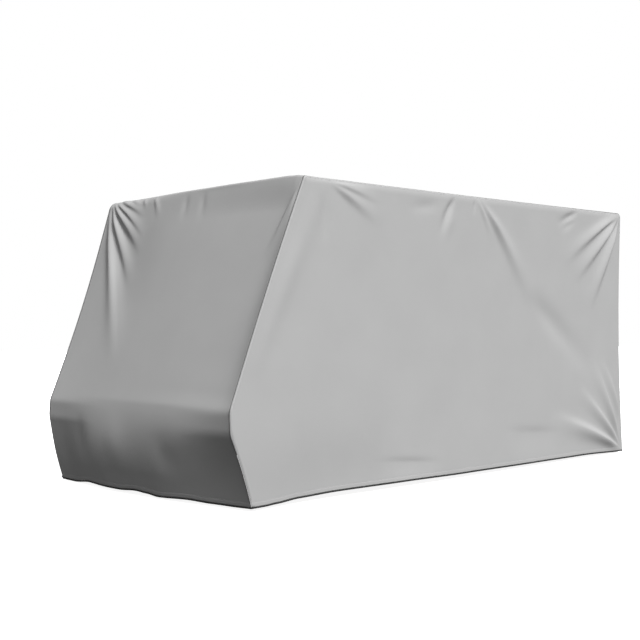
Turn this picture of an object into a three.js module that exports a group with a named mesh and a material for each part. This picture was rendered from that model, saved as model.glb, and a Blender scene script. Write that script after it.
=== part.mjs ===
// A fitted caravan cover, stretched to its cut shape as it hangs in use.
//
// Millimetres, +X towards the sloping front, +Y to the cover's left, +Z up.
// The origin is the middle of the roof panel's underside, where the cover is held up.
// The cover is hollow and open at the bottom: five cloth panels, a sewn welt along each side panel's edge,
// and a narrow binding round the hem. Neighbouring pieces stand 0.3 mm apart.

import * as THREE from 'three';

// Driving sizes
const COVER_WIDTH = 1950;
const COVER_HEIGHT = 1878;
const ROOF_LENGTH = 3486;
const ROOF_CROWN = 20;
const REAR_FALL = 7;

// Rounding: along the roof's ends, and over the side panels' edges. The side's cloth falls a little way in
// from its flat part to the seam, over a width that differs from edge to edge.
const CORNER_RADIUS = 20;
const EDGE_FALL = 10;
const EDGE_ROUNDING = 6;
const TOP_ROUNDING = 45;
const TUCK_ROUNDING = 30;

// How soon the side panels' rows lose the roof's line below it: a power of the height
const TOP_FOLLOWS = 6;

// Cloth, welt and binding
const SHEET = 2;
const HEM_SHEET = 3;
const HEM_DEPTH = 32;
const GAP = 0.3;
const WELT_WIDTH = 5;
const BINDING_WIDTH = 5;
const BINDING_HEIGHT = 10;

// How far the edges draw in between their ends, and over what width the folds start beside an edge
const REAR_EDGE_BOW = 40;
const ROOF_EDGE_BOW = 4;
const FOLD_CLEARANCE = 20;

// Levels and places that follow from the driving sizes
const ROOF_EDGE = SHEET - ROOF_CROWN;
const HEM = ROOF_EDGE - COVER_HEIGHT;
const HALF_WIDTH = COVER_WIDTH / 2;
const HALF_ROOF = ROOF_LENGTH / 2;
const SEAM_Y = HALF_WIDTH - EDGE_FALL;
const WELT_Y = SEAM_Y - GAP - WELT_WIDTH / 2;
const WRAP_HALF_WIDTH = SEAM_Y - 2 * GAP - WELT_WIDTH;

const named = (columns, rows) => rows.map(
  (row) => Object.fromEntries(columns.map((column, index) => [column, row[index]])),
);

// The front edge's sharp corners below the roof: how far forward of the roof and how far below it, the
// radius that rounds the corner, and how far the edge that starts there draws in. The two sides hang a
// little differently, and the middle of the front bellies out below the knee.
const CORNER_COLUMNS = ['forward', 'drop', 'radius', 'bow'];
const LEFT_FRONT = named(CORNER_COLUMNS, [
  [-19, 0, CORNER_RADIUS, -9],
  [556, 1335, 100, 0],
  [553, 1440, 80, 8],
  [401, COVER_HEIGHT, 0, 0],
]);
const MIDDLE_FRONT = named(CORNER_COLUMNS, [
  [0, 0, CORNER_RADIUS, 0],
  [524, 1320, 120, 0],
  [577, 1556, 760, 0],
  [475, COVER_HEIGHT, 0, 0],
]);
const RIGHT_FRONT = named(CORNER_COLUMNS, [
  [0, 0, 100, 22],
  [500, 1355, 90, 0],
  [508, 1470, 150, -9],
  [409, COVER_HEIGHT, 0, 0],
]);
const MIDDLE_REACH = 800;

// How far the roof's front edge rises above its other edges, by the place across to the cover's left. It
// also comes forward by a share of that rise, and both die away along the cloth.
const FRONT_EDGE_RISE = named(['place', 'rise'], [
  [-975, 0], [-600, 1], [0, 7], [500, 10.5], [820, 12.8], [900, 10], [960, 3],
]);
const FRONT_EDGE_REACH = 120;
const FRONT_EDGE_FORWARD = 0.3;

// How far the front sinks in from its left edge, by the distance down along the cloth: quickly beside the
// edge, then evenly back towards the middle
const LEFT_EDGE_DRAW = named(['place', 'rise'], [
  [0, 0], [60, 9], [140, 14], [400, 16.5], [1100, 16.5], [1330, 12], [1500, 0],
]);
const DRAW_REACH = 55;
const DRAW_SPREAD = 1300;

// How far the welt stands proud, by the distance along the side's outline from the rear hem
const WELT_RISE = named(['place', 'rise'], [
  [0, 1.2], [1700, 1.2], [1920, 4], [2900, 3], [4200, 2], [5300, 1.2],
]);

// Folds. Each runs from one point of its panel to another. Height is above zero for a ridge and below it
// for a trough, width is half its breadth at either end, lean makes one flank steeper than the other, bow
// bends it sideways, and peak is where along it the height is greatest.
// On the side panels, back is measured from the roof's front edge and down from the roof's edge.
const SIDE_COLUMNS = [
  'back', 'down', 'toBack', 'toDown', 'height', 'width', 'toWidth', 'lean', 'bow', 'peak',
];
const LEFT_FOLDS = named(SIDE_COLUMNS, [
  [225, 10, 700, 122, 14, 18, 40, -0.3, 0, 0.3],
  [215, 20, 700, 275, 16, 20, 50, -0.3, 0, 0.32],
  [900, 130, 1280, 80, -5, 36, 40, 0, 0, 0.5],
  [1410, 12, 1230, 330, -13, 20, 42, 0, -18, 0.3],
  [1668, 10, 2360, 840, 22, 20, 100, 0.25, 18, 0.25],
  [2200, 640, 3200, 1340, -15, 70, 105, 0, 0, 0.3],
  [2890, 20, 2570, 150, -11, 22, 36, 0, 0, 0.4],
  [3456, 8, 2640, 450, 22, 20, 56, -0.3, -16, 0.3],
  [3474, 12, 2760, 590, 27, 20, 60, -0.35, 15, 0.28],
  [3478, 26, 2990, 810, 26, 20, 58, -0.35, 7, 0.28],
  [3460, 1872, 2440, 1565, 32, 22, 85, 0.3, -30, 0.25],
  [3458, 1860, 2800, 1330, 23, 20, 64, 0.3, -22, 0.3],
  [3454, 1834, 3030, 1120, 23, 20, 60, 0.25, -11, 0.35],
  [3452, 1670, 3170, 1150, 13, 20, 46, 0.25, -34, 0.4],
  [560, 1705, 1290, 1775, -13, 50, 50, 0, 0, 0.5],
  [1850, 1600, 2700, 1660, -13, 70, 70, 0, 0, 0.5],
  [-500, 1930, 1150, 1900, -28, 320, 320, 0, 0, 0.45],
  [310, -250, -475, 1300, 7.5, 90, 45, 0, 0, 0.5],
]);
const RIGHT_FOLDS = named(SIDE_COLUMNS, [
  [30, 12, 520, 330, 11, 20, 46, -0.35, 0, 0.3],
  [30, 30, 300, 520, 11, 20, 46, -0.35, 0, 0.35],
  [900, 16, 760, 260, -7, 22, 36, 0, 0, 0.35],
  [1900, 16, 1500, 420, 8, 22, 52, 0, 30, 0.3],
  [2700, 20, 2450, 190, -7, 22, 36, 0, 0, 0.4],
  [3462, 12, 2780, 390, 12, 20, 48, -0.35, 0, 0.25],
  [3474, 20, 2900, 540, 13, 20, 48, -0.4, 0, 0.3],
  [3476, 40, 3050, 720, 12, 20, 46, -0.4, 0, 0.25],
  [3456, 1866, 2650, 1630, 14, 20, 52, 0.3, -20, 0.3],
  [3452, 1830, 2950, 1420, 12, 20, 48, 0.35, 0, 0.3],
  [3450, 1780, 3130, 1250, 10, 20, 44, 0.3, 0, 0.35],
  [200, 1760, 1100, 1650, -8, 44, 60, 0, 0, 0.5],
  [1500, 1640, 2400, 1700, -7, 60, 70, 0, 0, 0.5],
]);

// On the front and rear panels, across is measured to the cover's left and down along the cloth from the
// roof's edge. On the roof, across is the same and down is back from the roof's front edge.
const WRAP_COLUMNS = [
  'across', 'down', 'toAcross', 'toDown', 'height', 'width', 'toWidth', 'lean', 'bow', 'peak',
];
const FRONT_FOLDS = named(WRAP_COLUMNS, [
  [-985, 10, -265, 1267, 28, 26, 105, 0.1, -29, 0.28],
  [-960, 10, -190, 1267, -20, 110, 360, 0.8, -29, 0.38],
  [-950, 12, -380, 696, 32, 22, 60, 0.3, -11, 0.28],
  [-940, 8, -420, 429, 25, 20, 52, 0.3, 0, 0.28],
  [-920, 6, -420, 329, 18, 18, 44, 0.3, 19, 0.28],
  [-885, 5, -490, 156, 13, 18, 36, 0.2, 13, 0.3],
  [955, 60, 825, 550, 9, 20, 45, 0.4, 0, 0.3],
  [-560, 1500, -600, 1890, -9, 70, 80, 0, 0, 0.5],
  [-150, 1480, -190, 1900, 8, 110, 110, 0, 0, 0.5],
  [330, 1560, 360, 1900, -6, 90, 90, 0, 0, 0.5],
]);
const REAR_FOLDS = named(WRAP_COLUMNS, [
  [-945, 12, -500, 480, 13, 20, 48, 0.35, 0, 0.3],
  [-935, 10, -420, 240, 11, 20, 42, 0.35, 0, 0.3],
  [945, 12, 450, 400, 13, 20, 48, -0.35, 0, 0.3],
  [940, 30, 640, 640, 12, 20, 48, -0.35, 0, 0.3],
  [-200, 20, -230, 420, -7, 30, 46, 0, 0, 0.4],
  [310, 20, 280, 320, -6, 30, 42, 0, 0, 0.4],
  [-945, 1850, -420, 1540, 13, 20, 50, 0.3, 0, 0.3],
  [945, 1850, 500, 1480, 13, 20, 50, -0.3, 0, 0.3],
  [-300, 1300, -340, 1870, 8, 90, 90, 0, 0, 0.7],
  [260, 1250, 290, 1870, -8, 90, 90, 0, 0, 0.7],
  [930, 900, -930, 980, -12, 600, 500, 0, 0, 0.5],
]);
const ROOF_FOLDS = named(WRAP_COLUMNS, [
  [-935, 20, -420, 520, -9, 24, 54, 0, 0, 0.3],
  [935, 20, 480, 470, -9, 24, 54, 0, 0, 0.3],
  [-935, 3465, -380, 2950, -10, 24, 58, 0, 0, 0.3],
  [935, 3465, 430, 2900, -10, 24, 58, 0, 0, 0.3],
  [-900, 1180, -420, 1240, -6, 40, 56, 0, 0, 0.4],
  [900, 2240, 400, 2310, -6, 40, 56, 0, 0, 0.4],
]);

// How far the hem rises above its lowest level. Places on a side are measured back from the front panel,
// and on the front and rear across to the cover's left.
const SIDE_HEM_RISE = named(['place', 'rise'], [
  [0, 8], [100, 8], [200, 12], [380, 22], [700, 27.5], [1300, 26],
  [1900, 20], [2700, 16], [3300, 14], [3910, 0],
]);
const FRONT_HEM_RISE = named(['place', 'rise'], [
  [-975, 0], [-815, -4], [-560, 16], [-195, 10], [-20, 20], [90, 14],
  [200, 4], [460, 12], [640, 6], [820, 5], [975, 8],
]);
const REAR_HEM_RISE = named(['place', 'rise'], [
  [-960, 0], [-700, 12], [-250, 6], [150, 15], [600, 10], [960, 0],
]);

// Cloth colours
const PANEL_CLOTH = new THREE.MeshStandardMaterial({ color: 0x8d8e90, roughness: 0.75, metalness: 0 });
const WELT_CLOTH = new THREE.MeshStandardMaterial({ color: 0x464646, roughness: 0.8, metalness: 0 });
const BINDING_TAPE = new THREE.MeshStandardMaterial({ color: 0x131314, roughness: 0.85, metalness: 0 });

const clamp = (value, low, high) => Math.min(high, Math.max(low, value));
const smooth = (value) => clamp(value, 0, 1) ** 2 * (3 - 2 * clamp(value, 0, 1));
const mix = (from, to, share) => from + (to - from) * share;

// A smooth line through the rows of a rise table
function riseAt(table, place) {
  const last = table.length - 1;
  if (place <= table[0].place) return table[0].rise;
  if (place >= table[last].place) return table[last].rise;
  const next = table.findIndex((row) => row.place > place);
  const before = table[next - 1];
  const after = table[next];
  return mix(before.rise, after.rise, smooth((place - before.place) / (after.place - before.place)));
}

// The height of a panel's folds at one point
function foldHeight(folds, first, second) {
  let height = 0;
  for (const fold of folds) {
    const start = [fold.back ?? fold.across, fold.down];
    const reach = [(fold.toBack ?? fold.toAcross) - start[0], fold.toDown - start[1]];
    const length = Math.hypot(...reach);
    const offset = [first - start[0], second - start[1]];
    const along = (offset[0] * reach[0] + offset[1] * reach[1]) / length ** 2;
    if (along <= 0 || along >= 1) continue;
    const bend = fold.bow * 4 * along * (1 - along);
    const aside = (offset[0] * reach[1] - offset[1] * reach[0]) / length - bend;
    const width = mix(fold.width, fold.toWidth, along) * (1 + fold.lean * Math.sign(aside));
    const fade = along < fold.peak ? smooth(along / fold.peak) : smooth((1 - along) / (1 - fold.peak));
    height += fold.height * fade * Math.exp(-((aside / width) ** 2));
  }
  return height;
}

// The sharp corners of an outline that runs from the rear hem over the roof to the front hem. Rounding is
// the width over which the side's cloth falls in beside the edge that starts at the corner.
function outlineCorners(frontCorners) {
  const rear = -HALF_ROOF;
  const corners = [
    { place: new THREE.Vector2(rear, HEM), radius: 0, bow: REAR_EDGE_BOW },
    { place: new THREE.Vector2(rear, ROOF_EDGE - REAR_FALL), radius: CORNER_RADIUS, bow: ROOF_EDGE_BOW },
  ];
  for (const { forward, drop, radius, bow } of frontCorners) {
    corners.push({ place: new THREE.Vector2(HALF_ROOF + forward, ROOF_EDGE - drop), radius, bow });
  }
  const roundings = [EDGE_ROUNDING, TOP_ROUNDING, EDGE_ROUNDING, EDGE_ROUNDING, TUCK_ROUNDING];
  return corners.map((corner, index) => ({ ...corner, rounding: roundings[index] }));
}

// An outline as straight and round stretches, each with its length and the distance at which it starts
function outlineOf(frontCorners) {
  const corners = outlineCorners(frontCorners);
  const rounded = corners.map(({ place, radius }, index) => {
    if (radius === 0) return { start: place, end: place };
    const arriving = place.clone().sub(corners[index - 1].place).normalize();
    const leaving = corners[index + 1].place.clone().sub(place).normalize();
    const turn = Math.acos(arriving.dot(leaving));
    const tangent = radius * Math.tan(turn / 2);
    const start = place.clone().addScaledVector(arriving, -tangent);
    const end = place.clone().addScaledVector(leaving, tangent);
    const centre = start.clone().addScaledVector(new THREE.Vector2(arriving.y, -arriving.x), radius);
    const roundings = [corners[index - 1].rounding, corners[index].rounding];
    return { start, end, centre, turn, radius, roundings, length: radius * turn };
  });
  const stretches = [];
  rounded.forEach((corner, index) => {
    if (corner.centre) stretches.push(corner);
    if (index === rounded.length - 1) return;
    const { bow, rounding } = corners[index];
    const start = corner.end;
    const end = rounded[index + 1].start;
    stretches.push({ start, end, length: start.distanceTo(end), bow, roundings: [rounding, rounding] });
  });
  let length = 0;
  for (const stretch of stretches) {
    stretch.from = length;
    length += stretch.length;
  }
  return { stretches, length };
}
const SIDE_OUTLINES = { 1: outlineOf(LEFT_FRONT), [-1]: outlineOf(RIGHT_FRONT) };
const MIDDLE_OUTLINE = outlineOf(MIDDLE_FRONT);
const ROOF_STRETCH = 2;
const KNEE_STRETCH = 5;
const BELLY_STRETCH = 7;
const TUCK_STRETCH = 8;
const MIDDLE_STARTS = MIDDLE_OUTLINE.stretches.map((stretch) => stretch.from);
const ROOF_START = MIDDLE_STARTS[ROOF_STRETCH];
const ROOF_END = MIDDLE_STARTS[ROOF_STRETCH + 1];

// An outline's point and outward normal at a distance along it
function outlineAt({ stretches }, distance) {
  const beyond = stretches.findIndex((stretch) => distance < stretch.from + stretch.length);
  const stretch = stretches[beyond < 0 ? stretches.length - 1 : beyond];
  const share = (distance - stretch.from) / stretch.length;
  if (stretch.centre) {
    const arm = stretch.start.clone().sub(stretch.centre);
    arm.rotateAround(new THREE.Vector2(0, 0), -stretch.turn * share);
    const normal = arm.clone().normalize();
    return { point: arm.add(stretch.centre), normal };
  }
  const direction = stretch.end.clone().sub(stretch.start).normalize();
  const normal = new THREE.Vector2(-direction.y, direction.x);
  const point = stretch.start.clone().lerp(stretch.end, share);
  point.addScaledVector(normal, -stretch.bow * Math.sin(Math.PI * clamp(share, 0, 1)));
  return { point, normal };
}

// The place on a side's outline that meets a distance along the middle's: the same share of the same stretch
function onSideOutline(outline, distance) {
  const inside = clamp(distance, 0, MIDDLE_OUTLINE.length);
  const index = MIDDLE_STARTS.findLastIndex((start) => start <= inside);
  const share = (inside - MIDDLE_STARTS[index]) / MIDDLE_OUTLINE.stretches[index].length;
  const { from, length } = outline.stretches[index];
  return outlineAt(outline, from + length * share + distance - inside);
}

// The outline at a place across the cover: it runs evenly from one side's to the other's, the middle's
// fullness is added between them, and the roof's front edge rises and comes forward
function acrossCover(distance, y) {
  const toRight = clamp(0.5 - y / (2 * WRAP_HALF_WIDTH), 0, 1);
  const toMiddle = smooth((WRAP_HALF_WIDTH - Math.abs(y)) / MIDDLE_REACH);
  const middle = outlineAt(MIDDLE_OUTLINE, distance);
  const left = onSideOutline(SIDE_OUTLINES[1], distance);
  const right = onSideOutline(SIDE_OUTLINES[-1], distance);
  const [point, normal] = ['point', 'normal'].map((part) => new THREE.Vector2()
    .addScaledVector(left[part], 1 - toRight - toMiddle / 2)
    .addScaledVector(right[part], toRight - toMiddle / 2)
    .addScaledVector(middle[part], toMiddle));
  const rise = riseAt(FRONT_EDGE_RISE, y) * Math.exp(-(((distance - ROOF_END) / FRONT_EDGE_REACH) ** 2));
  point.add(new THREE.Vector2(FRONT_EDGE_FORWARD * rise, rise));
  return { point, normal: normal.normalize() };
}

// Where along it a stretch of an outline, which rises or falls all the way, is at a height
function outlineAtHeight(outline, height, from, to) {
  const halvings = 50;
  let low = from;
  let high = to;
  const rising = outlineAt(outline, to).point.y > outlineAt(outline, from).point.y;
  for (let step = 0; step < halvings; step += 1) {
    const middle = (low + high) / 2;
    const below = outlineAt(outline, middle).point.y < height;
    if (below === rising) low = middle;
    else high = middle;
  }
  return outlineAt(outline, (low + high) / 2).point;
}

// How far a point of a side panel lies inside its outline, and beside the edge that it is nearest to for the
// width of that edge's rounding: the share of that width, the width, and the direction out of the outline
function insideOutline({ stretches }, x, z) {
  const point = new THREE.Vector2(x, z);
  const nearest = { depth: Infinity, share: Infinity, rounding: EDGE_ROUNDING, out: new THREE.Vector2(1, 0) };
  for (const { start, end, centre, turn, radius, length, bow, roundings } of stretches) {
    if (centre) {
      const arm = point.clone().sub(centre);
      const first = start.clone().sub(centre);
      const last = end.clone().sub(centre);
      if (first.cross(arm) > 0 || arm.cross(last) > 0) continue;
      const rounding = mix(...roundings, clamp((first.angle() - arm.angle()) / turn, 0, 1));
      const depth = radius - arm.length();
      return { depth, share: depth / rounding, rounding, out: arm.normalize() };
    }
    const direction = end.clone().sub(start).normalize();
    const out = new THREE.Vector2(-direction.y, direction.x);
    const offset = point.clone().sub(start);
    const along = offset.dot(direction) / length;
    if (along < 0 || along > 1) continue;
    const depth = -offset.dot(out) - bow * Math.sin(Math.PI * along);
    const [rounding] = roundings;
    nearest.depth = Math.min(nearest.depth, depth);
    if (depth / rounding < nearest.share) Object.assign(nearest, { share: depth / rounding, rounding, out });
  }
  return nearest;
}

// Places along a line: given steps in from each end, and a number of even ones between them
function stations(length, startSteps, endSteps, between) {
  const from = startSteps[startSteps.length - 1];
  const to = length - endSteps[endSteps.length - 1];
  const shares = Array.from({ length: between }, (_, index) => (index + 1) / (between + 1));
  const middle = shares.map((share) => mix(from, to, share));
  return [...startSteps, ...middle, ...endSteps.map((inset) => length - inset).reverse()];
}

// A grid of points and normals, placed by a function of the column and the row
function gridSurface(columns, rows, place) {
  const surface = { points: [], normals: [], sheets: [], faces: [], columns, rows };
  for (let row = 0; row < rows; row += 1) {
    for (let column = 0; column < columns; column += 1) {
      const { point, normal, sheet } = place(column, row);
      surface.points.push(point);
      surface.normals.push(normal.normalize());
      surface.sheets.push(sheet);
    }
  }
  for (let row = 0; row < rows - 1; row += 1) {
    for (let column = 0; column < columns - 1; column += 1) {
      const corner = row * columns + column;
      surface.faces.push([corner, corner + 1, corner + columns + 1]);
      surface.faces.push([corner, corner + columns + 1, corner + columns]);
    }
  }
  return surface;
}

// A closed body from a surface: the outer side, the inner side one sheet below it, and the cut edge
function thicken({ points, normals, sheets, faces }) {
  const count = points.length;
  const inner = points.map((point, index) => point.clone().addScaledVector(normals[index], -sheets[index]));
  const middle = faces[Math.floor(faces.length / 2)];
  const [a, b, c] = middle.map((index) => points[index]);
  const facing = b.clone().sub(a).cross(c.clone().sub(a)).dot(normals[middle[0]]);
  const outward = facing > 0 ? faces : faces.map(([first, second, third]) => [first, third, second]);
  const edges = new Set(outward.flatMap(([i, j, k]) => [`${i}_${j}`, `${j}_${k}`, `${k}_${i}`]));
  const triangles = [...outward, ...outward.map(([i, j, k]) => [i + count, k + count, j + count])];
  for (const edge of edges) {
    const [from, to] = edge.split('_').map(Number);
    if (edges.has(`${to}_${from}`)) continue;
    triangles.push([from, from + count, to + count], [from, to + count, to]);
  }
  return bodyGeometry([...points, ...inner], triangles);
}

function bodyGeometry(points, triangles) {
  const geometry = new THREE.BufferGeometry().setFromPoints(points);
  geometry.setIndex(triangles.flat());
  return geometry;
}

// A closed body from rings of the same number of points: joined end to end, or capped at both ends
function ringBody(rings, closed) {
  const sides = rings[0].length;
  const triangles = [];
  const last = closed ? rings.length : rings.length - 1;
  for (let ring = 0; ring < last; ring += 1) {
    const here = ring * sides;
    const next = ((ring + 1) % rings.length) * sides;
    for (let side = 0; side < sides; side += 1) {
      const turn = (side + 1) % sides;
      triangles.push([here + side, next + turn, next + side], [here + side, here + turn, next + turn]);
    }
  }
  if (!closed) {
    const end = (rings.length - 1) * sides;
    for (let side = 1; side < sides - 1; side += 1) {
      triangles.push([0, side + 1, side], [end, end + side, end + side + 1]);
    }
  }
  return bodyGeometry(rings.flat(), triangles);
}

// The hem is the cloth turned up once, so the sheet's two lowest rows are thicker
const sheetAt = (rowAboveHem) => (rowAboveHem < 2 ? HEM_SHEET : SHEET);

// Side panels: a flat five-sided sheet that rounds over the outline's edge to the welt
const ROUND_ANGLES = [0, Math.PI / 6, Math.PI / 3, Math.PI / 2];
const roundSteps = (width) => ROUND_ANGLES.map((angle) => width * (1 - Math.cos(angle)));
const EDGE_STEPS = roundSteps(EDGE_ROUNDING);
const SIDE_LEFT_GRID = {
  rear: [...EDGE_STEPS, 30, 60, 100, 145, 195, 250, 310, 380, 460, 550],
  front: [...EDGE_STEPS, 30, 60, 100, 150, 220, 310],
  columnsBetween: 18,
  top: [...roundSteps(TOP_ROUNDING), 70, 100, 135, 175, 230, 300, 385],
  bottom: [0, HEM_DEPTH, 75, 125, 185, 255, 340],
  rowsBetween: 8,
};
const SIDE_RIGHT_GRID = {
  rear: [...EDGE_STEPS, 35, 75, 125, 190, 265, 350, 450, 570],
  front: [...EDGE_STEPS, 40, 90, 170, 280, 400],
  columnsBetween: 12,
  top: [...roundSteps(TOP_ROUNDING), 80, 125, 190, 270, 370],
  bottom: [0, HEM_DEPTH, 90, 170, 270],
  rowsBetween: 7,
};

function sidePanel(side, folds, grid) {
  const outline = SIDE_OUTLINES[side];
  const roof = outline.stretches[ROOF_STRETCH];
  const roofEnd = roof.from + roof.length;
  const hemFront = outline.stretches[TUCK_STRETCH].end.x;
  // The panel's top follows the roof's line, which the cloth below it soon loses
  const levelAt = (x, height) => {
    const share = clamp((x - roof.start.x) / (roof.end.x - roof.start.x), 0, 1);
    const roofLevel = outlineAt(outline, roof.from + share * roof.length).point.y;
    return HEM + height + (roofLevel - ROOF_EDGE) * (height / COVER_HEIGHT) ** TOP_FOLLOWS;
  };
  const heights = stations(COVER_HEIGHT, grid.bottom, grid.top, grid.rowsBetween);
  const rows = heights.map((height) => {
    const rear = outlineAtHeight(outline, levelAt(roof.start.x, height), 0, roof.from).x;
    const front = outlineAtHeight(outline, levelAt(roof.end.x, height), roofEnd, outline.length).x;
    return stations(front - rear, grid.rear, grid.front, grid.columnsBetween).map((place) => rear + place);
  });
  const folded = (x, z) => {
    const { depth } = insideOutline(outline, x, z);
    const fade = smooth((depth - EDGE_ROUNDING) / FOLD_CLEARANCE);
    return fade * foldHeight(folds, HALF_ROOF - x, ROOF_EDGE - z);
  };
  const place = (column, row) => {
    const x = rows[row][column];
    const level = levelAt(x, heights[row]);
    const low = 1 - heights[row] / COVER_HEIGHT;
    const z = level + riseAt(SIDE_HEM_RISE, hemFront - x) * low ** 2;
    const { share, rounding, out } = insideOutline(outline, x, level);
    const inset = 1 - clamp(share, 0, 1);
    const flatness = Math.sqrt(1 - inset ** 2);
    const y = SEAM_Y + EDGE_FALL * flatness + folded(x, level);
    const slopeX = (folded(x + 1, level) - folded(x - 1, level)) / 2;
    const slopeZ = (folded(x, level + 1) - folded(x, level - 1)) / 2;
    const steepness = EDGE_FALL / rounding * inset;
    const normal = new THREE.Vector3(
      steepness * out.x - flatness * slopeX,
      side * flatness,
      row === 0 ? 0 : steepness * out.y - flatness * slopeZ,
    );
    return { point: new THREE.Vector3(x, side * y, z), normal, sheet: sheetAt(row) };
  };
  return gridSurface(rows[0].length, rows.length, place);
}

// Roof, front and rear panels: a sheet that follows the outline and lies between the two welts. Its normals
// are kept level at the hem and upright along the welts, so that the cut edges stay clear of both.
function wrapPanel(distances, places, lift, hasHem) {
  const surfaceAt = (distance, y) => {
    const { point, normal } = acrossCover(distance, y);
    point.addScaledVector(normal, lift(distance, y));
    return new THREE.Vector3(point.x, y, point.y);
  };
  const place = (column, row) => {
    const y = places[column];
    const distance = distances(y)[row];
    const along = surfaceAt(distance + 1, y).sub(surfaceAt(distance - 1, y));
    const across = surfaceAt(distance, y - 1).sub(surfaceAt(distance, y + 1));
    const normal = across.cross(along).negate();
    if (column === 0 || column === places.length - 1) normal.y = 0;
    if (hasHem && row === 0) normal.z = 0;
    return { point: surfaceAt(distance, y), normal, sheet: hasHem ? sheetAt(row) : SHEET };
  };
  return gridSurface(places.length, distances(0).length, place);
}

// Where the front's hem lies, by the level that it rises to, and how far along the cloth one millimetre of
// the tuck goes there
function frontHem(y) {
  const step = 10;
  const end = MIDDLE_OUTLINE.length;
  const high = acrossCover(end - step, y).point;
  const low = acrossCover(end, y).point;
  const fall = (high.y - low.y) / step;
  return { hem: end - riseAt(FRONT_HEM_RISE, y) / fall, pace: step / high.distanceTo(low) };
}

// How much a panel's folds are held back near the welts and the seam across its end
function heldAt(y, fromSeam) {
  return smooth((WRAP_HALF_WIDTH - Math.abs(y)) / FOLD_CLEARANCE) * smooth(fromSeam / FOLD_CLEARANCE);
}

function leftEdgeDraw(down, y) {
  const fromEdge = WRAP_HALF_WIDTH - y;
  const spread = Math.tanh(fromEdge / DRAW_REACH) * (1 - smooth(fromEdge / DRAW_SPREAD));
  return riseAt(LEFT_EDGE_DRAW, down) * spread;
}

// Steps in from a welt, and from the seam that ends a panel at the roof
const WELT_STEPS = [0, 22, 45, 75, 115, 170, 240];
const FRONT_SEAM_STEPS = [0, 8, 16, 24, 45, 75, 110, 150, 200, 260, 330, 410, 500];
const REAR_SEAM_STEPS = [0, 10, 20, 31, 55, 90, 130, 180, 240, 310, 390, 480];
const HEM_STEPS = [0, HEM_DEPTH, 90, 170, 260];
const COLUMNS_BETWEEN = { front: 13, roof: 13, rear: 7 };
const acrossPlaces = (between) => stations(2 * WRAP_HALF_WIDTH, WELT_STEPS, WELT_STEPS, between)
  .map((place) => place - WRAP_HALF_WIDTH);

// The front and rear panels' rows run up from the hem to the roof's seam
function frontPanel() {
  const seam = ROOF_END + GAP / 2;
  const tuck = MIDDLE_STARTS[TUCK_STRETCH];
  const knee = MIDDLE_STARTS[KNEE_STRETCH];
  const kneeEnd = MIDDLE_STARTS[KNEE_STRETCH + 1];
  const belly = MIDDLE_STARTS[BELLY_STRETCH];
  const slopeRows = stations(knee - seam, FRONT_SEAM_STEPS, [0], 5).map((step) => seam + step);
  const kneeRows = [1, 2, 3].map((third) => mix(knee, kneeEnd, third / 3));
  const bellyRows = stations(tuck - belly, [0], [0], 5).map((step) => belly + step);
  const upperRows = [...slopeRows, ...kneeRows, ...bellyRows].reverse();
  const distances = (y) => {
    const { hem, pace } = frontHem(y);
    const hemTop = hem - HEM_DEPTH * pace;
    return [hem, hemTop, ...[1, 2, 3].map((quarter) => mix(hemTop, tuck, quarter / 4)), ...upperRows];
  };
  const lift = (distance, y) => {
    const down = distance - seam;
    return foldHeight(FRONT_FOLDS, y, down) * heldAt(y, down) - leftEdgeDraw(down, y);
  };
  return wrapPanel(distances, acrossPlaces(COLUMNS_BETWEEN.front), lift, true);
}

function rearPanel() {
  const seam = ROOF_START - GAP / 2;
  const distances = (y) => {
    const hem = riseAt(REAR_HEM_RISE, y);
    return stations(seam - hem, HEM_STEPS, REAR_SEAM_STEPS, 6).map((step) => hem + step);
  };
  const lift = (distance, y) => {
    const down = seam - distance;
    return foldHeight(REAR_FOLDS, y, down) * heldAt(y, down);
  };
  return wrapPanel(distances, acrossPlaces(COLUMNS_BETWEEN.rear), lift, true);
}

// The roof's crown makes up for the sag of its edges, so its middle rests at the origin
function roofPanel() {
  const from = ROOF_START + GAP / 2;
  const to = ROOF_END - GAP / 2;
  const crownHeight = ROOF_CROWN + ROOF_EDGE_BOW + REAR_FALL / 2;
  const endSteps = [0, 30, 65, 105, 150, 210, 290, 390, 510];
  const distances = () => stations(to - from, endSteps, endSteps, 6).map((step) => from + step);
  const lift = (distance, y) => {
    const lengthShare = clamp(2 * (distance - from) / (to - from) - 1, -1, 1);
    const widthShare = clamp(y / WRAP_HALF_WIDTH, -1, 1);
    const crown = crownHeight * (1 - lengthShare ** 2) ** 2 * (1 - widthShare ** 2) ** 2;
    const fromSeam = Math.min(distance - from, to - distance);
    return crown + foldHeight(ROOF_FOLDS, y, to - distance) * heldAt(y, fromSeam);
  };
  return wrapPanel(distances, acrossPlaces(COLUMNS_BETWEEN.roof), lift, false);
}

// A welt: a narrow bead that follows the whole outline beside a side panel. It starts and ends just above
// the hem, clear of the binding.
const WELT_INSET = 2;

function seamWelt(side) {
  const outline = SIDE_OUTLINES[side];
  const half = WELT_WIDTH / 2;
  const rings = weltDistances(outline).map((distance) => {
    const { point, normal } = outlineAt(outline, distance);
    const rise = riseAt(WELT_RISE, distance);
    const shoulder = rise / 3;
    const section = [
      [-half, -SHEET], [half, -SHEET], [half, shoulder],
      [half / 2, rise], [-half / 2, rise], [-half, shoulder],
    ];
    return section.map(([across, height]) => new THREE.Vector3(
      point.x + normal.x * height,
      side * WELT_Y + across,
      point.y + normal.y * height,
    ));
  });
  return ringBody(rings, false);
}

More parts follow.
